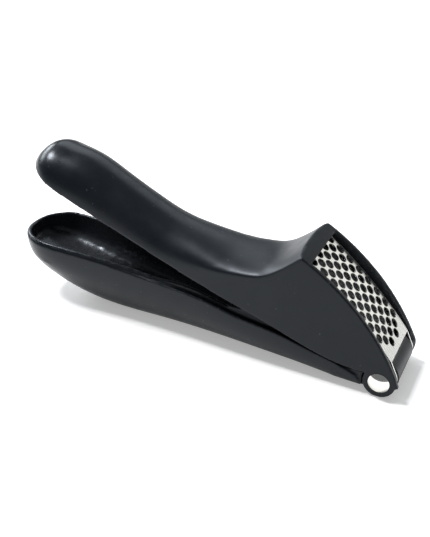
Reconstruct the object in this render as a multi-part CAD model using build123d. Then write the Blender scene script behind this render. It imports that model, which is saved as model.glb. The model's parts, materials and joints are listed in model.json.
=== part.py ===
from build123d import *
import os
from math import acos, atan2, cos, hypot, pi, radians, sin

# Two-handle garlic press, lying shut on its lower handle. The grips stand apart when it is shut.
# Millimetres. +X runs from the handle ends to the head, Y is the width, +Z is up.
# Shapes are drawn with the hinge pin's axis at X = Z = 0, then moved to the row frame.

# hinge
PIN_X = 75.93                       # hinge axis in the row frame
PIN_Z = 6.35
PIN_RADIUS = 2.5
RUNNING_FIT = 0.05                  # radial clearance where a piece turns on the pin
PIN_HEAD_RADIUS = 4.1
PIN_HEAD_HEIGHT = 1.5
PIN_HEAD_GAP = 0.1                  # between a pin head and the cheek it covers
CAP_GRIP = 1.6                      # how deep the cap takes the pin's end
SPIGOT_RADIUS = 1.7                 # the pin's reduced end, inside the cap
SPIGOT_SHORT = 0.2                  # how far it stops short of the cap's dome

# widths across Y, measured from the centre plane
CHEEK_OUTER = 15.7
CHEEK_INNER = 13.6
SIEVE_OUTER = 12.0
SIEVE_SHEET = 0.6
HUB_HALF = 10.9
PLUNGER_HALF = 10.6
PIVOT_BOSS_INNER = 12.3
PIVOT_BOSS_ROOT = 14.1              # inside the cheek that carries the boss
PIVOT_BOSS_RADIUS = 5.8

# head of the upper handle, as X-Z points
LOBE_RADIUS = 6.3
ROOF_CORNER = (-33.85, 43.4)        # where cheek, saddle and roof face meet
FRONT_FOOT = (5.85, 3.3)            # where the front edge reaches the lobe
FRONT_BULGE = 4.3                   # how far the front edge bows out of its chord
ROOF_DEPTH = 3.7                    # roof face, from the corner down to the opening
LOBE_FRONT = (6.4, 1.2)             # the lobe's outline below the front edge
TAB_TIP = (7.3, -0.4)               # small square nib there, on the near cheek only
TAB_ROOT = (6.2, -0.9)
WALL = 2.3                          # moulded wall

# head pocket, under the saddle and behind the sieve
POCKET_ROOF = [(-37.0, 35.9), (-43.5, 30.3), (-50.0, 27.2), (-58.7, 25.6)]

# upper handle stations: x, half width, height of the straight side, crown above it
UPPER_STATIONS = [
    (-33.85, 15.7, 43.4, 3.2),
    (-38.2, 15.7, 39.4, 3.2),
    (-41.8, 15.7, 36.2, 3.2),
    (-45.5, 15.7, 33.3, 3.2),
    (-49.3, 15.7, 31.2, 3.2),
    (-54.0, 15.7, 30.0, 3.3),
    (-61.0, 15.7, 29.0, 4.2),
    (-70.0, 15.6, 28.0, 6.6),
    (-80.0, 15.3, 27.2, 9.6),
    (-90.0, 15.0, 27.6, 11.6),
    (-103.0, 14.7, 31.4, 13.4),
    (-117.0, 14.9, 37.0, 14.7),
    (-130.0, 15.4, 42.6, 14.9),
    (-139.0, 15.6, 46.4, 12.7),
]
HANDLE_CAVITY_START = -61.0         # the upper handle is hollow behind this station
GRIP_START = -66.0
HEAD_SIDES = 40.0                   # depth of the straight sides below the spring line, before trimming
GRIP_SIDES = 14.0
TIP_SIDES = 12.0
CROSS_WALL_FOOT = 21.0              # the wall between the two hollows stops short of the rim
CROSS_WALL_SPAN = (-64.0, -56.0)
CROSS_WALL_RELIEF = 13.3            # half width of the gap below it
UPPER_TIP_LENGTH = 13.7
UPPER_TIP_RISE = 0.40               # the rim still climbs along the rounded end
UPPER_TIP_DROOP = 1.6               # how fast the crown falls round that end
UPPER_EDGE = [                      # lower edge: on the lower handle's rim, then away from it
    (-16.5, 3.4), (-27.5, 6.0), (-34.0, 8.1), (-43.0, 11.3), (-56.0, 15.5),
    (-73.3, 20.9), (-90.6, 26.8), (-116.9, 36.8), (-134.7, 44.4), (-160.0, 56.0),
]

# lower handle stations: x, half width, rim height, underside height, squareness, lip half width
LOWER_STATIONS = [
    (0.0, 15.7, -0.2, -5.7, 4.0, 13.0),
    (-16.5, 15.7, 3.1, -5.6, 4.0, 13.0),
    (-24.0, 15.7, 4.9, -5.5, 3.7, 13.0),
    (-31.5, 15.7, 6.7, -5.4, 3.4, 13.0),
    (-39.4, 15.7, 8.6, -5.4, 3.2, 13.0),
    (-56.0, 15.6, 10.9, -5.4, 2.8, 13.0),
    (-73.0, 15.2, 14.2, -5.9, 2.5, 12.9),
    (-90.0, 14.6, 15.6, -6.3, 2.4, 13.0),
    (-105.0, 14.3, 16.6, -6.8, 2.4, 13.3),
    (-118.0, 14.5, 17.6, -6.4, 2.4, 13.8),
    (-128.0, 15.1, 18.2, -4.9, 2.3, 14.5),
    (-136.0, 15.7, 18.7, -2.5, 2.2, 15.1),
    (-143.0, 15.9, 19.0, 0.4, 2.1, 15.3),
]
LOWER_TIP_LENGTH = 16.2
LOWER_TIP_RISE = 0.03
BELLY_END = (-118.0, -6.4)          # where the underside starts to rise to the rounded end
BELLY_CURVE = 1.6                   # how early it rises
RIM_LAND = 0.4                      # straight sides just under the rim
RIM_LIP_HEIGHT = 1.4
RIM_LIP_THICKNESS = 1.4
GUIDE_INNER = 12.35                 # walls that stand up inside the cheeks
GUIDE_OUTER = 13.2
GUIDE_WALL = [
    (-64.0, 13.3), (-61.0, 13.9), (-46.0, 14.4), (-28.0, 13.6), (-18.5, 5.0), (-18.5, 0.0), (-64.0, 9.0),
]
FLOOR = 2.4
SCOOP_FLOOR = (-73.0, -2.6)         # from here back the floor of the scoop climbs towards the end
SCOOP_SLOPE = 0.157
SCOOP_SQUARENESS = 4.5
SCOOP_END_FALL = 0.5                # how steeply the scoop's far end drops
TIP_ANGLES = (20, 40, 57, 70, 80, 86)   # places of the sections round a rounded end

# front end of the lower handle's outer wall, rounded to clear the lobes
WALL_END = [(-17.0, 3.5), (-9.9, 1.15), (-6.9, -2.8)]
LOBE_CLEARANCE = 0.35
WEB_INNER = 12.4                    # recessed wall beside each of the sieve's arms
WEB_OUTER = 13.25
RECESS_OUTER = 14.9                 # floor of the shallow recess between the wall's end and the lobe

# hub between the sieve's arms
HUB_RADIUS = 6.4
HUB_BROW = (2.4, 6.6)
HUB_BROW_FOOT = (6.3, 1.1)

# sieve insert
SIEVE_TOP = (-31.6, 40.3)
SIEVE_FOOT = (2.84, 7.74)
SIEVE_BULGE = 1.65
SIEVE_WALL_TOP = (-35.6, 35.9)      # inner corner of a side wall
SIEVE_WALL_WAIST = (-12.0, 13.0)
EYE_RADIUS = 6.0
HOLE_RADIUS = 1.9
HOLE_PITCH = 6.4
HOLE_ROW_STEP = 2.68
LAST_HOLE_FROM_FOOT = 4.3           # along the face, from its foot to the lowest row
HOLE_ROWS = 17

# plunger
PLUNGER_GAP = 2.0                   # to the sieve when the press is shut
PLUNGER_FRONT_RADII = (9.4, 48.6)   # the pressing face, from the pin
PLUNGER_WALL = 2.2
PLUNGER_CREST = (4.6, 5.6)          # from the face's top end down to the back
PLUNGER_BODY = [(-3.6, 6.8), (-16.4, 5.9), (-20.0, 3.4), (-20.0, -5.0), (-46.0, -5.0), (-46.0, 3.5)]
PLUNGER_CORE = [                    # the hollow, open below
    (-9.0, 8.6), (-17.0, 8.0), (-22.2, 4.6), (-22.2, -6.0),
    (-43.8, -6.0), (-43.8, 3.0), (-33.3, 29.6), (-33.1, 33.4),
]


def on_side(point):
    return Vector(point[0], 0, point[1])


def line(start, end):
    return Edge.make_line(on_side(start), on_side(end))


def arc(start, middle, end):
    return Edge.make_three_point_arc(on_side(start), on_side(middle), on_side(end))


def polyline(points):
    return [line(a, b) for a, b in zip(points, points[1:])]


def slab(edges, low_y, high_y):
    """A closed X-Z outline made solid between two Y values."""
    face = Face(Wire(edges))
    solid = Solid.extrude(face, Vector(0, high_y - low_y, 0))
    return Part() + solid.moved(Location((0, low_y, 0)))


def rod(radius, low_y, high_y, centre=(0.0, 0.0)):
    start = Plane((centre[0], low_y, centre[1]), z_dir=(0, 1, 0))
    return Part() + Solid.make_cylinder(radius, high_y - low_y, start)


def bulge_point(start, end, bulge):
    """The top of an arc that bows away from the pin by bulge."""
    dx = end[0] - start[0]
    dz = end[1] - start[1]
    length = hypot(dx, dz)
    normal = (-dz / length, dx / length)
    if normal[0] + normal[1] < 0:
        normal = (-normal[0], -normal[1])
    return ((start[0] + end[0]) / 2 + bulge * normal[0], (start[1] + end[1]) / 2 + bulge * normal[1])


def arc_frame(start, end, bulge):
    """Centre and radius of the circle that such an arc lies on."""
    chord = hypot(end[0] - start[0], end[1] - start[1])
    radius = chord * chord / (8 * bulge) + bulge / 2
    top = bulge_point(start, end, bulge)
    middle = ((start[0] + end[0]) / 2, (start[1] + end[1]) / 2)
    out = ((top[0] - middle[0]) / bulge, (top[1] - middle[1]) / bulge)
    return (top[0] - radius * out[0], top[1] - radius * out[1]), radius


def polar(centre, radius, angle):
    return (centre[0] + radius * cos(angle), centre[1] + radius * sin(angle))


def angle_of(centre, point):
    return atan2(point[1] - centre[1], point[0] - centre[0])


def dome(half_width, height, squareness):
    """A quarter superellipse from -half_width to the centre, as (y, z) points; height may be negative."""
    points = []
    for step in range(7):
        t = pi / 2 * step / 6
        across = cos(t) ** (2 / squareness) if step < 6 else 0.0
        points.append((-half_width * across, height * sin(t) ** (2 / squareness)))
    return points


def section(x, half_width, spring, height, squareness, base):
    """Half a cross-section at x, from the centre plane out: a flat base, a straight side and half a dome."""
    rise = 1 if height > 0 else -1
    curve = [Vector(x, y, spring + z) for y, z in dome(half_width, height, squareness)]
    steps = [step / (len(curve) - 1) for step in range(len(curve))]
    edges = [
        Edge.make_line(Vector(x, 0, base), Vector(x, -half_width, base)),
        Edge.make_line(Vector(x, -half_width, base), curve[0]),
        Edge.make_spline(curve, tangents=[Vector(0, 0, rise), Vector(0, 1, 0)], parameters=steps),
        Edge.make_line(curve[-1], Vector(x, 0, base)),
    ]
    return Wire(edges)


def lofted(wires):
    """A body through half sections, made whole by its mirror image in the centre plane."""
    half = Part() + Solid.make_loft(wires)
    return half + half.mirror(Plane.XZ)


def upper_sections(inset, first_x):
    """Sections of the upper handle from first_x to the rounded end, drawn in by inset."""
    wires = []
    for x, half_width, spring, crown in UPPER_STATIONS:
        if x <= first_x:
            base = spring - (HEAD_SIDES if x > GRIP_START else GRIP_SIDES)
            wires.append(section(x, half_width - inset, spring, crown - inset, 2.0, base))
    x, half_width, spring, crown = UPPER_STATIONS[-1]
    length = UPPER_TIP_LENGTH - inset
    for angle in TIP_ANGLES:
        a = radians(angle)
        along = length * sin(a)
        z = spring + UPPER_TIP_RISE * along
        height = (crown - inset) * cos(a) ** UPPER_TIP_DROOP
        reach = (half_width - inset) * cos(a)
        wires.append(section(x - along, reach, z, height, 2.0, z - TIP_SIDES * cos(a)))
    return wires


def upper_side_profile():
    """Side view of the upper handle: front edge, lobe, lower edge, and open space above the saddle."""
    centre, radius = arc_frame(ROOF_CORNER, FRONT_FOOT, FRONT_BULGE)
    corner_angle = angle_of(centre, ROOF_CORNER)
    roof_far = (ROOF_CORNER[0] - 30 * sin(corner_angle), ROOF_CORNER[1] + 30 * cos(corner_angle))
    lobe_left = polar((0, 0), LOBE_RADIUS, radians(152))
    edge_points = [lobe_left] + UPPER_EDGE
    edges = [
        line(roof_far, ROOF_CORNER),
        arc(ROOF_CORNER, bulge_point(ROOF_CORNER, FRONT_FOOT, FRONT_BULGE), FRONT_FOOT),
        arc(FRONT_FOOT, LOBE_FRONT, TAB_ROOT),
        arc(TAB_ROOT, polar((0, 0), LOBE_RADIUS, radians(-110)), lobe_left),
        Edge.make_spline([on_side(p) for p in edge_points]),
        line(edge_points[-1], (-160.0, 90.0)),
        line((-160.0, 90.0), (roof_far[0], 90.0)),
        line((roof_far[0], 90.0), roof_far),
    ]
    return edges


def head_pocket():
    centre, radius = arc_frame(ROOF_CORNER, FRONT_FOOT, FRONT_BULGE)
    angle = angle_of(centre, ROOF_CORNER) - ROOF_DEPTH / radius
    opening = polar(centre, radius, angle)
    outside = polar(centre, radius + 6, angle)
    corners = [outside, opening] + POCKET_ROOF + [(-58.7, -14.0), (14.0, -14.0), (14.0, 20.0), outside]
    return slab(polyline(corners), -CHEEK_INNER, CHEEK_INNER)


def upper_handle():
    body = lofted(upper_sections(0.0, UPPER_STATIONS[0][0]))
    back, top = ROOF_CORNER
    cheeks = [(back, top - 40), (14.0, top - 60), (14.0, top), (back, top), (back, top - 40)]
    body += slab(polyline(cheeks), -CHEEK_OUTER, CHEEK_OUTER)
    body &= slab(upper_side_profile(), -30, 30)
    body -= head_pocket()
    body -= lofted(upper_sections(WALL, HANDLE_CAVITY_START))
    nib = [FRONT_FOOT, TAB_TIP, TAB_ROOT, (4.0, 0.0), FRONT_FOOT]
    body += slab(polyline(nib), -CHEEK_OUTER, -CHEEK_INNER)
    low_x, high_x = CROSS_WALL_SPAN
    relief = [(low_x, 0.0), (high_x, 0.0), (high_x, CROSS_WALL_FOOT), (low_x, CROSS_WALL_FOOT), (low_x, 0.0)]
    body -= slab(polyline(relief), -CROSS_WALL_RELIEF, CROSS_WALL_RELIEF)
    for side in (-1, 1):
        low, high = sorted((side * PIVOT_BOSS_INNER, side * PIVOT_BOSS_ROOT))
        body += rod(PIVOT_BOSS_RADIUS, low, high)
    body -= rod(PIN_RADIUS + RUNNING_FIT, -20, 20)
    return body


def belly(x):
    """Height of the underside from the belly to the rounded end."""
    start_x, start_z = BELLY_END
    end_x, _, end_z, _, _, _ = LOWER_STATIONS[-1]
    share = (start_x - x) / (start_x - end_x + LOWER_TIP_LENGTH)
    rise = end_z + LOWER_TIP_RISE * LOWER_TIP_LENGTH - start_z
    return start_z + rise * (1 - (1 - share ** BELLY_CURVE) ** 0.5)


def end_sections():
    """Where the rounded end's sections stand, with the rim height and how far each is drawn in."""
    x, _, rim_z, _, _, _ = LOWER_STATIONS[-1]
    for angle in TIP_ANGLES:
        share = sin(radians(angle))
        yield x, share, cos(radians(angle)), rim_z + LOWER_TIP_RISE * LOWER_TIP_LENGTH * share


def outer_sections():
    """Half sections of the lower handle's outside."""
    wires = []
    for x, half_width, rim_z, under_z, squareness, _ in LOWER_STATIONS:
        spring = rim_z - RIM_LAND
        wires.append(section(x, half_width, spring, under_z - spring, squareness, rim_z))
    for x, share, narrowing, z in end_sections():
        land = RIM_LAND * narrowing
        along = LOWER_TIP_LENGTH * share
        height = belly(x - along) - z + land
        wires.append(section(x - along, half_width * narrowing, z - land, height, squareness, z))
    return wires


def scoop_bottom(x, under_z):
    start_x, start_z = SCOOP_FLOOR
    return max(under_z + FLOOR, start_z + SCOOP_SLOPE * (start_x - x))


def inner_sections(inset, lift, drop):
    """Half sections of the scoop, drawn in from the lip's outside by inset and deepened by drop."""
    wires = []
    for x, _, rim_z, under_z, squareness, lip in LOWER_STATIONS[1:]:
        spring = rim_z - RIM_LAND
        height = scoop_bottom(x, under_z) - drop - spring
        wires.append(section(x, lip - inset, spring, height, max(squareness, SCOOP_SQUARENESS), rim_z + lift))
    length = LOWER_TIP_LENGTH - (LOWER_STATIONS[-1][1] - lip + inset)
    for x, share, narrowing, z in end_sections():
        land = RIM_LAND * narrowing
        along = length * share
        height = (scoop_bottom(x - along, under_z) - drop - z + land) * narrowing ** SCOOP_END_FALL
        wires.append(section(x - along, (lip - inset) * narrowing, z - land, height, SCOOP_SQUARENESS,
                             z + lift * narrowing))
    return wires


def scoop():
    """The open hollow of the lower handle."""
    return lofted(inner_sections(RIM_LIP_THICKNESS, 6.0, 0.0))


def wall_end_cut():
    """Everything in front of the outer wall's rounded end."""
    start, middle, end = WALL_END
    rest = [end, (end[0] + 0.6, -9.0), (12.0, -9.0), (12.0, 12.0), (start[0], 12.0), start]
    cut = slab([arc(start, middle, end)] + polyline(rest), -20, 20)
    return cut + rod(LOBE_RADIUS + LOBE_CLEARANCE, -20, 20)


def hub():
    """The barrel between the sieve's arms, with its brow and the neck that joins it to the handle."""
    neck = [(-2.0, 6.1), (-16.0, 5.2), (-19.0, 3.0), (-19.0, -4.4), (-2.0, -5.6), (-2.0, 6.1)]
    brow = [(-1.0, 6.3), HUB_BROW, HUB_BROW_FOOT, (0.0, 0.0), (-1.0, 6.3)]
    solid = rod(HUB_RADIUS, -HUB_HALF, HUB_HALF)
    solid += slab(polyline(neck), -HUB_HALF, HUB_HALF)
    solid += slab(polyline(brow), -HUB_HALF, HUB_HALF)
    return solid


def web(side):
    """The recessed wall that closes the handle's front end round one lobe, and the recess's floor."""
    wall = [(-18.0, -4.4), (-3.4, -4.4), (-3.4, 5.4), (-18.0, 4.4), (-18.0, -4.4)]
    recess = [(-17.6, -3.1), (-4.0, -3.1), (-4.0, 2.6), (-17.6, 2.7), (-17.6, -3.1)]
    low, high = sorted((side * WEB_INNER, side * WEB_OUTER))
    solid = slab(polyline(wall), low, high) - rod(PIVOT_BOSS_RADIUS + LOBE_CLEARANCE, low - 1, high + 1)
    low, high = sorted((side * (WEB_OUTER - 0.4), side * RECESS_OUTER))
    return solid + (slab(polyline(recess), low, high) - rod(LOBE_RADIUS + LOBE_CLEARANCE, low - 1, high + 1))


def lower_handle():
    body = lofted(outer_sections())
    body -= wall_end_cut()
    body += lofted(inner_sections(0.0, RIM_LIP_HEIGHT, FLOOR / 2))
    body -= scoop()
    for side in (-1, 1):
        low, high = sorted((side * GUIDE_INNER, side * GUIDE_OUTER))
        body += slab(polyline(GUIDE_WALL + GUIDE_WALL[:1]), low, high)
        body += web(side)
    body += hub()
    body -= rod(PIN_RADIUS, -20, 20)
    table = [(-170.0, -PIN_Z), (20.0, -PIN_Z), (20.0, -20.0), (-170.0, -20.0), (-170.0, -PIN_Z)]
    return body - slab(polyline(table), -20, 20)


def sieve_arc(offset):
    """The perforated face as an X-Z arc, drawn in towards the pin by offset."""
    centre, radius = arc_frame(SIEVE_TOP, SIEVE_FOOT, SIEVE_BULGE)
    first = angle_of(centre, SIEVE_TOP)
    last = angle_of(centre, SIEVE_FOOT)
    return [polar(centre, radius - offset, a) for a in (first, (first + last) / 2, last)]


def sieve_plate():
    outer = sieve_arc(0.0)
    inner = sieve_arc(SIEVE_SHEET)
    edges = [arc(*outer), line(outer[2], inner[2]), arc(*reversed(inner)), line(inner[0], outer[0])]
    plate = slab(edges, -SIEVE_OUTER, SIEVE_OUTER)
    centre, radius = arc_frame(SIEVE_TOP, SIEVE_FOOT, SIEVE_BULGE)
    foot = angle_of(centre, SIEVE_FOOT)
    drills = []
    for row in range(HOLE_ROWS):
        angle = foot + (LAST_HOLE_FROM_FOOT + row * HOLE_ROW_STEP) / radius
        out = Vector(cos(angle), 0, sin(angle))
        start = on_side(polar(centre, radius - 3, angle))
        places = (-0.5, 0.5) if row == 0 else (-1.5, -0.5, 0.5, 1.5) if row % 2 == 0 else (-1, 0, 1)
        for place in places:
            origin = start + Vector(0, place * HOLE_PITCH, 0)
            drills.append(Solid.make_cylinder(HOLE_RADIUS, 6, Plane(origin, z_dir=out)))
    return plate - drills


def sieve_side(low_y, high_y):
    """One side wall with its arm and the eye that turns on the pin."""
    outer = sieve_arc(0.0)
    foot_range = hypot(*SIEVE_FOOT)
    front_angle = atan2(SIEVE_FOOT[1], SIEVE_FOOT[0]) - acos(EYE_RADIUS / foot_range)
    waist_range = hypot(*SIEVE_WALL_WAIST)
    back_angle = atan2(SIEVE_WALL_WAIST[1], SIEVE_WALL_WAIST[0]) + acos(EYE_RADIUS / waist_range)
    front = polar((0, 0), EYE_RADIUS, front_angle)
    back = polar((0, 0), EYE_RADIUS, back_angle)
    edges = [
        arc(*outer),
        line(outer[2], front),
        arc(front, polar((0, 0), EYE_RADIUS, (front_angle + back_angle - 2 * pi) / 2), back),
        line(back, SIEVE_WALL_WAIST),
        line(SIEVE_WALL_WAIST, SIEVE_WALL_TOP),
        line(SIEVE_WALL_TOP, outer[0]),
    ]
    return slab(edges, low_y, high_y) - rod(PIN_RADIUS + RUNNING_FIT, low_y - 1, high_y + 1)


def sieve_insert():
    inner_y = SIEVE_OUTER - SIEVE_SHEET
    insert = sieve_plate() + sieve_side(-SIEVE_OUTER, -inner_y) + sieve_side(inner_y, SIEVE_OUTER)
    return insert


def plunger():
    """The pressing block: it reaches into the sieve, is hollow, and stands on the scoop's floor."""
    near, far = PLUNGER_FRONT_RADII
    centre, radius = arc_frame(SIEVE_TOP, SIEVE_FOOT, SIEVE_BULGE)
    face = radius - SIEVE_SHEET - PLUNGER_GAP
    top = polar(centre, face, angle_at_range(centre, face, far))
    foot = polar(centre, face, angle_at_range(centre, face, near))
    middle = polar(centre, face, angle_at_range(centre, face, (near + far) / 2))
    back = (top[0] - PLUNGER_CREST[0], top[1] - PLUNGER_CREST[1])
    outline = [arc(top, middle, foot)] + polyline([foot] + PLUNGER_BODY + [back, top])
    solid = slab(outline, -PLUNGER_HALF, PLUNGER_HALF)
    bed = [(-50.0, -8.0), (-18.0, -8.0), (-18.0, 5.0), (-50.0, 5.0), (-50.0, -8.0)]
    solid -= slab(polyline(bed), -CHEEK_OUTER, CHEEK_OUTER) - scoop()
    half_width = PLUNGER_HALF - PLUNGER_WALL
    return solid - slab(polyline(PLUNGER_CORE + PLUNGER_CORE[:1]), -half_width, half_width)


def angle_at_range(centre, radius, pin_range):
    """Where on a circle its distance from the pin is pin_range, on the side of the sieve."""
    reach = hypot(*centre)
    cosine = (radius * radius + reach * reach - pin_range * pin_range) / (2 * radius * reach)
    towards_pin = atan2(-centre[1], -centre[0])
    return towards_pin + acos(cosine)


def domed_head(side):
    """A low dome that bears on the outside of one cheek."""
    y = side * (CHEEK_OUTER + PIN_HEAD_GAP)
    cap_radius = (PIN_HEAD_RADIUS ** 2 + PIN_HEAD_HEIGHT ** 2) / (2 * PIN_HEAD_HEIGHT)
    centre = y - side * (cap_radius - PIN_HEAD_HEIGHT)
    ball = Solid.make_sphere(cap_radius, Plane((0, centre, 0)), -90, 90, 360)
    low, high = sorted((y, y + side * 5))
    return (Part() + ball) & rod(PIN_HEAD_RADIUS, low, high)


def hinge_pin():
    """Shank and the near head in one piece; the far end is reduced for the cap."""
    end = CHEEK_OUTER + PIN_HEAD_GAP
    shank = rod(PIN_RADIUS, -end, end - CAP_GRIP)
    spigot = rod(SPIGOT_RADIUS, end - CAP_GRIP, end - SPIGOT_SHORT)
    return domed_head(-1) + shank + spigot


def pin_cap():
    end = CHEEK_OUTER + PIN_HEAD_GAP
    sleeve = rod(PIN_RADIUS, end - CAP_GRIP, end) - rod(SPIGOT_RADIUS, end - CAP_GRIP, end - SPIGOT_SHORT)
    return domed_head(1) + sleeve


NODES = {
    "upper_handle": upper_handle,
    "lower_handle": lower_handle,
    "plunger": plunger,
    "sieve_insert": sieve_insert,
    "hinge_pin": hinge_pin,
    "pin_cap": pin_cap,
}


def main():
    os.makedirs("parts", exist_ok=True)
    place = Location((PIN_X, 0, PIN_Z))
    for name, build in NODES.items():
        export_step(place * build(), f"parts/{name}.step")


if __name__ == "__main__":
    main()
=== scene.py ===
import json
import math

import bmesh
import bpy
from mathutils import Matrix, Vector
from mathutils.bvhtree import BVHTree
from mathutils.kdtree import KDTree

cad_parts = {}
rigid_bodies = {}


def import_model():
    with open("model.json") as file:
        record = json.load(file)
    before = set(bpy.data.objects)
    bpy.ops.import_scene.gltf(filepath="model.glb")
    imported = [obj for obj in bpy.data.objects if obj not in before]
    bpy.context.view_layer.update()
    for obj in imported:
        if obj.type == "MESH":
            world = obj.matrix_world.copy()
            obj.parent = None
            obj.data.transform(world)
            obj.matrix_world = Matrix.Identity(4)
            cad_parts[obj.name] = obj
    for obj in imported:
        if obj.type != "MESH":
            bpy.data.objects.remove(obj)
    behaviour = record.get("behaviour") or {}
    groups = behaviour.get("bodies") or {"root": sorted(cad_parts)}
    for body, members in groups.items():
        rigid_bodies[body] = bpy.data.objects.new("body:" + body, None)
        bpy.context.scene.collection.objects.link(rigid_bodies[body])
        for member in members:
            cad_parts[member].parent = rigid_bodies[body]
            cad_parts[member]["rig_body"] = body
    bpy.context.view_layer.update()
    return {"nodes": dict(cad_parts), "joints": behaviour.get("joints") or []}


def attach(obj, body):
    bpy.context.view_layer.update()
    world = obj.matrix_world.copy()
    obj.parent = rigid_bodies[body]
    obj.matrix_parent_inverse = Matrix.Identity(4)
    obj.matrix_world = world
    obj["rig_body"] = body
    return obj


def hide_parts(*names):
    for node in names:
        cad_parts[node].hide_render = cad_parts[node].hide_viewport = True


MM = 0.001

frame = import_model()
PIVOT = Vector(frame["joints"][0]["pos_m"])

# the camera's place is measured from the hinge axis; angles are in degrees, the lens in millimetres
CAMERA_FROM_PIVOT = Vector((48.9, -292.9, 208.4)) * MM
CAMERA_AZIMUTH = 22.76
CAMERA_ELEVATION = 30.66
CAMERA_ROLL = 2.82
CAMERA_LENS = 62.4
CAMERA_SENSOR = 36.0
NEAREST_SEEN = 0.01

# softened mouldings
WELD = 0.001 * MM
VOXEL = 0.4 * MM
ROUNDING_PASSES = 6
BROAD_PASSES = 110
EDGE_ANGLE = math.radians(12)       # facets of a curved face meet at less than this
EDGE_STEP = 0.4 * MM
EDGE_KEEP = 0.8 * MM                # the broad smoothing starts this far from a real edge
EDGE_FADE = 1.0 * MM                # and grows to its full strength over this distance
BROAD_LEVELS = 5
FACE_LIFT = 0.4 * MM
HOLLOW_SPAN = 30 * MM               # a hollow's walls are no further from each other than this

# plastic: colours are linear, scales are per metre, bumps in metres
OUTER_DARK = (0.0034, 0.0045, 0.0062)
OUTER_LIGHT = (0.0048, 0.0062, 0.0084)
OUTER_ROUGHNESS = (0.33, 0.43)
OUTER_GLOSS = 0.25
PLUNGER_DARK = (0.004, 0.005, 0.006)
PLUNGER_LIGHT = (0.006, 0.007, 0.009)
PLUNGER_ROUGHNESS = (0.42, 0.5)
PLUNGER_GLOSS = 0.4
# painted light: the hollows of a moulding get a lighter colour than its outside, standing in for light in
# these shaded places
CORE_PAINTED_LIT_DARK = (0.013, 0.014, 0.016)
CORE_PAINTED_LIT_LIGHT = (0.018, 0.0195, 0.022)
CORE_ROUGHNESS = (0.18, 0.36)
CORE_GLOSS = 0.5
DUST = (0.12, 0.13, 0.14, 1)
COOL_SHEEN = (0.88, 0.94, 1.0, 1)
CLOUD_SCALE = 60.0
DUST_SCALE = 900.0
SMEAR_SCALE = 140.0
GRAIN_SCALE = 2600.0
GRAIN_DEPTH = 0.06 * MM
CORE_CLOUD_SCALE = 90.0
CORE_SCUFF_SCALE = 420.0
CORE_RIPPLE_SCALE = 260.0
CORE_RIPPLE_DEPTH = 0.3 * MM
GRIP_POLISH_SPAN = (-62 * MM, -46 * MM)     # the grips' ends are rubbed smoother by the hand
GRIP_POLISH = 0.74

# steel
SHEET_DARK = (0.62, 0.615, 0.59)
SHEET_LIGHT = (0.80, 0.795, 0.765)
SHEET_ROUGHNESS = (0.20, 0.34)
BRUSHING_SCALES = (90.0, 2600.0, 90.0)      # fine across the sheet and long down it
BRUSHING_DEPTH = 0.02 * MM
PIN_DARK = (0.78, 0.765, 0.71)
PIN_LIGHT = (0.86, 0.845, 0.80)
PIN_ROUGHNESS = (0.07, 0.15)
PIN_SMEAR_SCALE = 700.0

# floor and light
FLOOR_HALF = 4.0
FLOOR_DROP = 0.2 * MM
FLOOR_DARK = (0.80, 0.79, 0.77)
FLOOR_LIGHT = (0.82, 0.81, 0.79)
FLOOR_ROUGHNESS = 0.6
FIBRE_SCALE = 300.0
FLOOR_GLOW_COLOUR = (0.985, 0.985, 0.975, 1)
FLOOR_GLOW = 0.36
SKY_COLOUR = (0.90, 0.95, 1.0, 1)
SKY_STRENGTH = 0.20


def nodes_of(name):
    """An empty node material: the material, its node tree and its Principled shader."""
    material = bpy.data.materials.new(name)
    material.use_nodes = True
    tree = material.node_tree
    shader = tree.nodes["Principled BSDF"]
    return material, tree, shader


def noise(tree, coordinates, scale, detail=3.0, roughness=0.5):
    """A noise texture's value, about 0.5 on average."""
    node = tree.nodes.new("ShaderNodeTexNoise")
    node.inputs["Scale"].default_value = scale
    node.inputs["Detail"].default_value = detail
    node.inputs["Roughness"].default_value = roughness
    tree.links.new(coordinates, node.inputs["Vector"])
    return node.outputs["Fac"]


def ramp(tree, value, low, high, to_low, to_high):
    """Maps a value from low..high to to_low..to_high, held at the ends."""
    node = tree.nodes.new("ShaderNodeMapRange")
    node.inputs["From Min"].default_value = low
    node.inputs["From Max"].default_value = high
    node.inputs["To Min"].default_value = to_low
    node.inputs["To Max"].default_value = to_high
    tree.links.new(value, node.inputs["Value"])
    return node.outputs["Result"]


def mix_colours(tree, factor, first, second):
    """A colour between two fixed ones."""
    node = tree.nodes.new("ShaderNodeMix")
    node.data_type = "RGBA"
    node.inputs["A"].default_value = (*first, 1)
    node.inputs["B"].default_value = (*second, 1)
    tree.links.new(factor, node.inputs["Factor"])
    return node.outputs["Result"]


def object_point(tree):
    """The point on the object, in metres in the CAD frame."""
    return tree.nodes.new("ShaderNodeTexCoord").outputs["Object"]


def bump(tree, height, distance, strength):
    """A normal bent by a height value; distance is the height of a value of 1, in metres."""
    node = tree.nodes.new("ShaderNodeBump")
    node.inputs["Strength"].default_value = strength
    node.inputs["Distance"].default_value = distance
    tree.links.new(height, node.inputs["Height"])
    return node.outputs["Normal"]


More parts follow.
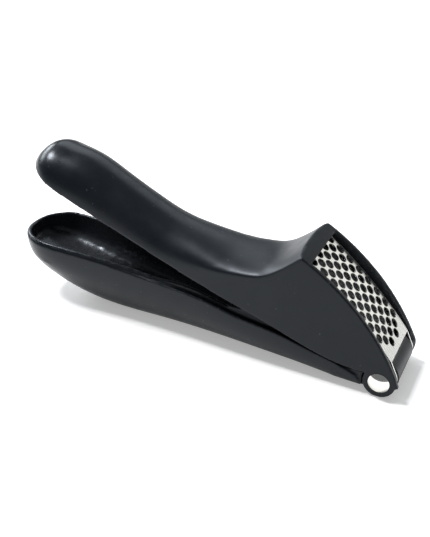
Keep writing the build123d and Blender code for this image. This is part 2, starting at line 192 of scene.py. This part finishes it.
def satin_plastic(name, dark, light, roughness, gloss):
    """Moulded black plastic: fine grain, faint clouding, smears, dust specks and a rubbed grip."""
    material, tree, shader = nodes_of(name)
    point = object_point(tree)
    cloud = ramp(tree, noise(tree, point, CLOUD_SCALE, 4.0), 0.35, 0.65, 0.0, 1.0)
    tone = mix_colours(tree, cloud, dark, light)
    speck = ramp(tree, noise(tree, point, DUST_SCALE, 0.0), 0.815, 0.845, 0.0, 0.30)
    dusty = tree.nodes.new("ShaderNodeMix")
    dusty.data_type = "RGBA"
    dusty.inputs["B"].default_value = DUST
    tree.links.new(speck, dusty.inputs["Factor"])
    tree.links.new(tone, dusty.inputs["A"])
    tree.links.new(dusty.outputs["Result"], shader.inputs["Base Color"])
    smear = ramp(tree, noise(tree, point, SMEAR_SCALE, 5.0, 0.6), 0.3, 0.7, *roughness)
    axes = tree.nodes.new("ShaderNodeSeparateXYZ")
    tree.links.new(point, axes.inputs["Vector"])
    handled = ramp(tree, axes.outputs["X"], *GRIP_POLISH_SPAN, GRIP_POLISH, 1.0)
    worn = tree.nodes.new("ShaderNodeMath")
    worn.operation = "MULTIPLY"
    tree.links.new(smear, worn.inputs[0])
    tree.links.new(handled, worn.inputs[1])
    tree.links.new(worn.outputs["Value"], shader.inputs["Roughness"])
    grain = noise(tree, point, GRAIN_SCALE, 2.0)
    tree.links.new(bump(tree, grain, GRAIN_DEPTH, 0.35), shader.inputs["Normal"])
    shader.inputs["Specular IOR Level"].default_value = gloss
    shader.inputs["Specular Tint"].default_value = COOL_SHEEN
    return material


def moulded_inside(name):
    """The plastic where the mould's core was: glossier, with ripples from the tool's polishing, and a
    lighter colour that is painted light in the shaded hollows.
    """
    material, tree, shader = nodes_of(name)
    point = object_point(tree)
    cloud = noise(tree, point, CORE_CLOUD_SCALE, 5.0)
    # painted light: a colour lighter than the outside plastic, clouded at random
    tree.links.new(mix_colours(tree, cloud, CORE_PAINTED_LIT_DARK, CORE_PAINTED_LIT_LIGHT), shader.inputs["Base Color"])
    scuff = noise(tree, point, CORE_SCUFF_SCALE, 6.0, 0.7)
    tree.links.new(ramp(tree, scuff, 0.35, 0.65, *CORE_ROUGHNESS), shader.inputs["Roughness"])
    ripple = noise(tree, point, CORE_RIPPLE_SCALE, 3.0, 0.6)
    tree.links.new(bump(tree, ripple, CORE_RIPPLE_DEPTH, 0.5), shader.inputs["Normal"])
    shader.inputs["Specular IOR Level"].default_value = CORE_GLOSS
    shader.inputs["Specular Tint"].default_value = COOL_SHEEN
    return material


def brushed_steel(name):
    """Sheet steel with fine brush lines that run down the sheet."""
    material, tree, shader = nodes_of(name)
    point = object_point(tree)
    mapping = tree.nodes.new("ShaderNodeMapping")
    mapping.inputs["Scale"].default_value = BRUSHING_SCALES
    tree.links.new(point, mapping.inputs["Vector"])
    streaks = noise(tree, mapping.outputs["Vector"], 1.0, 3.0)
    shader.inputs["Metallic"].default_value = 1.0
    tree.links.new(mix_colours(tree, streaks, SHEET_DARK, SHEET_LIGHT), shader.inputs["Base Color"])
    tree.links.new(ramp(tree, streaks, 0.3, 0.7, *SHEET_ROUGHNESS), shader.inputs["Roughness"])
    tree.links.new(bump(tree, streaks, BRUSHING_DEPTH, 0.3), shader.inputs["Normal"])
    return material


def polished_steel(name):
    """Polished steel, slightly warm, with faint smears."""
    material, tree, shader = nodes_of(name)
    point = object_point(tree)
    smear = noise(tree, point, PIN_SMEAR_SCALE, 4.0)
    shader.inputs["Metallic"].default_value = 1.0
    tree.links.new(mix_colours(tree, smear, PIN_DARK, PIN_LIGHT), shader.inputs["Base Color"])
    tree.links.new(ramp(tree, smear, 0.3, 0.7, *PIN_ROUGHNESS), shader.inputs["Roughness"])
    return material


def paint(piece, material):
    """Makes a material the piece's only one."""
    piece.data.materials.clear()
    piece.data.materials.append(material)


def edge_finder(work):
    """A search tree over points along a moulding's real edges, not the facets of its curved faces."""
    points = []
    for edge in work.edges:
        if len(edge.link_faces) == 2 and edge.calc_face_angle(0) > EDGE_ANGLE:
            start, end = (v.co for v in edge.verts)
            steps = max(1, math.ceil((end - start).length / EDGE_STEP))
            points += [start.lerp(end, i / steps) for i in range(steps + 1)]
    tree = KDTree(len(points))
    for i, point in enumerate(points):
        tree.insert(point, i)
    tree.balance()
    return tree


def evaluated(piece):
    """The piece's mesh with its modifiers applied; the modifiers are then removed."""
    bpy.context.view_layer.update()
    graph = bpy.context.evaluated_depsgraph_get()
    mesh = bpy.data.meshes.new_from_object(piece.evaluated_get(graph))
    piece.modifiers.clear()
    piece.data = mesh
    return mesh


def softened(node, name):
    """A copy of a moulding with rounded edges, and with its broad faces smoothed away from them."""
    source = frame["nodes"][node]
    mesh = source.data.copy()
    piece = bpy.data.objects.new(name, mesh)
    bpy.context.scene.collection.objects.link(piece)
    work = bmesh.new()
    work.from_mesh(mesh)
    bmesh.ops.remove_doubles(work, verts=work.verts, dist=WELD)
    edges = edge_finder(work)
    work.to_mesh(mesh)
    work.free()
    remesh = piece.modifiers.new("remesh", "REMESH")
    remesh.mode = "VOXEL"
    remesh.voxel_size = VOXEL
    mesh = evaluated(piece)
    levels = [[] for _ in range(BROAD_LEVELS + 1)]
    for vertex in mesh.vertices:
        distance = edges.find(vertex.co)[2]
        share = min(1.0, max(0.0, (distance - EDGE_KEEP) / EDGE_FADE))
        levels[round(share * BROAD_LEVELS)].append(vertex.index)
    group = piece.vertex_groups.new(name="broad")
    for level, indices in enumerate(levels):
        group.add(indices, level / BROAD_LEVELS, "REPLACE")
    broad = piece.modifiers.new("broad", "SMOOTH")
    broad.factor = 0.5
    broad.iterations = BROAD_PASSES
    broad.vertex_group = "broad"
    rounding = piece.modifiers.new("rounding", "SMOOTH")
    rounding.factor = 0.5
    rounding.iterations = ROUNDING_PASSES
    mesh = evaluated(piece)
    piece.vertex_groups.clear()
    mesh.name = name
    for polygon in mesh.polygons:
        polygon.use_smooth = True
    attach(piece, source["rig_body"])
    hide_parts(node)
    return piece


def line_hollows(piece, material):
    """Gives a second material to the faces that have the same moulding on both sides of them across Y;
    its lighter colour is painted light in these shaded hollows.
    """
    mesh = piece.data
    mesh.materials.append(material)
    points = [v.co for v in mesh.vertices]
    tree = BVHTree.FromPolygons(points, [p.vertices for p in mesh.polygons])
    for polygon in mesh.polygons:
        start = polygon.center + polygon.normal * FACE_LIFT
        walls = [tree.ray_cast(start, Vector((0, side, 0)), HOLLOW_SPAN)[0] for side in (-1, 1)]
        if None not in walls:
            polygon.material_index = 1


def camera():
    """The view from above and in front of the hinge, slightly rolled."""
    az, el, roll = (math.radians(a) for a in (CAMERA_AZIMUTH, CAMERA_ELEVATION, CAMERA_ROLL))
    right = Vector((math.cos(az), math.sin(az), 0))
    forward = Vector((-math.sin(az) * math.cos(el), math.cos(az) * math.cos(el), -math.sin(el)))
    up = right.cross(forward)
    across = right * math.cos(roll) + up * math.sin(roll)
    upright = up * math.cos(roll) - right * math.sin(roll)
    data = bpy.data.cameras.new("camera")
    data.lens = CAMERA_LENS
    data.sensor_width = CAMERA_SENSOR
    data.clip_start = NEAREST_SEEN
    viewer = bpy.data.objects.new("camera", data)
    bpy.context.scene.collection.objects.link(viewer)
    rotation = Matrix((across, upright, -forward)).transposed().to_4x4()
    viewer.matrix_world = Matrix.Translation(PIVOT + CAMERA_FROM_PIVOT) @ rotation
    bpy.context.scene.camera = viewer


def around(azimuth, elevation, distance):
    """A place seen from the object: azimuth 0 is +X, 90 is +Y."""
    a, e = math.radians(azimuth), math.radians(elevation)
    return Vector((math.cos(a) * math.cos(e), math.sin(a) * math.cos(e), math.sin(e))) * distance


def softbox(name, azimuth, elevation, distance, target_height, width, height, power, colour):
    """A soft rectangular light that looks at a point above the middle of the object."""
    place = around(azimuth, elevation, distance)
    target = Vector((0, 0, target_height))
    data = bpy.data.lights.new(name, "AREA")
    data.shape = "RECTANGLE"
    data.size = width
    data.size_y = height
    data.energy = power
    data.color = colour
    lamp = bpy.data.objects.new(name, data)
    bpy.context.scene.collection.objects.link(lamp)
    turn = (target - place).to_track_quat("-Z", "Y").to_matrix().to_4x4()
    lamp.matrix_world = Matrix.Translation(place) @ turn


def floor():
    """A plain pale floor that glows a little, so that it stays white far from the lights."""
    mesh = bpy.data.meshes.new("floor")
    work = bmesh.new()
    bmesh.ops.create_grid(work, x_segments=8, y_segments=8, size=FLOOR_HALF)
    work.to_mesh(mesh)
    work.free()
    plane = bpy.data.objects.new("floor", mesh)
    plane.location = (0, 0, -FLOOR_DROP)
    bpy.context.scene.collection.objects.link(plane)
    material, tree, shader = nodes_of("paper")
    point = object_point(tree)
    fibre = noise(tree, point, FIBRE_SCALE, 3.0)
    tree.links.new(mix_colours(tree, fibre, FLOOR_DARK, FLOOR_LIGHT), shader.inputs["Base Color"])
    shader.inputs["Roughness"].default_value = FLOOR_ROUGHNESS
    shader.inputs["Emission Color"].default_value = FLOOR_GLOW_COLOUR
    shader.inputs["Emission Strength"].default_value = FLOOR_GLOW
    paint(plane, material)


def world():
    """A dim, even, slightly blue surround."""
    sky = bpy.data.worlds.new("studio")
    bpy.context.scene.world = sky
    sky.use_nodes = True
    background = sky.node_tree.nodes["Background"]
    background.inputs["Color"].default_value = SKY_COLOUR
    background.inputs["Strength"].default_value = SKY_STRENGTH


plastic = satin_plastic("handle_plastic", OUTER_DARK, OUTER_LIGHT, OUTER_ROUGHNESS, OUTER_GLOSS)
core = moulded_inside("handle_core_painted_lit_plastic")
inner_plastic = satin_plastic(
    "plunger_plastic", PLUNGER_DARK, PLUNGER_LIGHT, PLUNGER_ROUGHNESS, PLUNGER_GLOSS
)
polished = polished_steel("pin_steel")

paint(frame["nodes"]["sieve_insert"], brushed_steel("sieve_steel"))
paint(frame["nodes"]["hinge_pin"], polished)
paint(frame["nodes"]["pin_cap"], polished)
paint(frame["nodes"]["plunger"], inner_plastic)

for node in ("upper_handle", "lower_handle"):
    piece = softened(node, node + "_moulding")
    paint(piece, plastic)
    line_hollows(piece, core)

camera()
floor()
world()
softbox("key", 181, 58, 1.4, 0.02, 0.36, 0.36, 31.0, (0.95, 0.96, 1.0))
softbox("back_window", 104, 38, 1.5, 0.03, 1.3, 0.7, 5.8, (0.88, 0.94, 1.0))
softbox("left_window", 160, 24, 1.4, 0.03, 0.9, 0.42, 12.5, (0.90, 0.95, 1.0))
softbox("right_window", 60, 15, 1.4, 0.03, 0.7, 0.6, 1.5, (1.0, 0.99, 0.95))
bpy.context.scene.view_settings.view_transform = "Standard"
